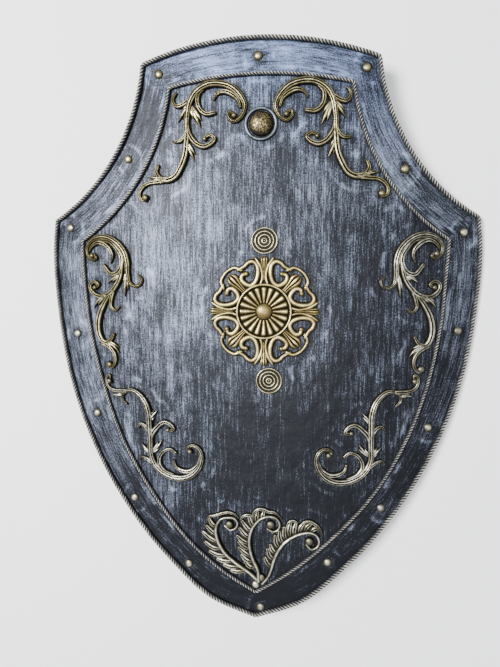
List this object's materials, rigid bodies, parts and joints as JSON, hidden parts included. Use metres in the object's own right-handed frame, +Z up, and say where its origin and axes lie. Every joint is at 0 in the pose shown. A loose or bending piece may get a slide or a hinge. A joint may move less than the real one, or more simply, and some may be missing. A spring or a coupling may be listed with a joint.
{
  "type": "heater shield",
  "caption": "Ornamental arched-top shield of rolled dark sheet steel with twisted-wire rims, cast scrollwork, a rosette, a leaf palmette and domed rivets.",
  "frame": {"origin": "centre of the footprint on the floor, under the shield as it lies on its back", "axes": "+Y towards the top edge, +Z up out of the decorated front, +X to the viewer's right when the front is seen with the top edge up"},
  "size_m": [0.5092, 0.6628, 0.0535],
  "materials": {
    "blackened_steel": "black lacquer over sheet steel, dry-brushed with vertical silver strokes, softly hammered, satin",
    "blackened_wire": "twisted wire rope, black in the grooves and pale gold on the strands",
    "old_brass": "cast brass, black in the recesses and rubbed bright on the high places"
  },
  "bodies": {
    "root": {"shield_plate": "blackened_steel", "rim_rope": "blackened_wire", "panel_rope": "blackened_wire", "scroll_top_left": "old_brass", "scroll_top_right": "old_brass", "scroll_side_left": "old_brass", "scroll_side_right": "old_brass", "scroll_low_left": "old_brass", "scroll_low_right": "old_brass", "leaf_palmette": "old_brass", "rosette": "old_brass", "disc_upper": "old_brass", "disc_lower": "old_brass", "boss_top": "old_brass", "boss_ring": "blackened_steel", "rivet_01": "old_brass", "rivet_02": "old_brass", "rivet_03": "old_brass", "rivet_04": "old_brass", "rivet_05": "old_brass", "rivet_06": "old_brass", "rivet_07": "old_brass", "rivet_08": "old_brass", "rivet_09": "old_brass", "rivet_10": "old_brass", "rivet_11": "old_brass", "rivet_12": "old_brass", "rivet_13": "old_brass", "rivet_14": "old_brass", "rivet_15": "old_brass", "rivet_16": "old_brass", "rivet_17": "old_brass"}
  },
  "joints": []
}
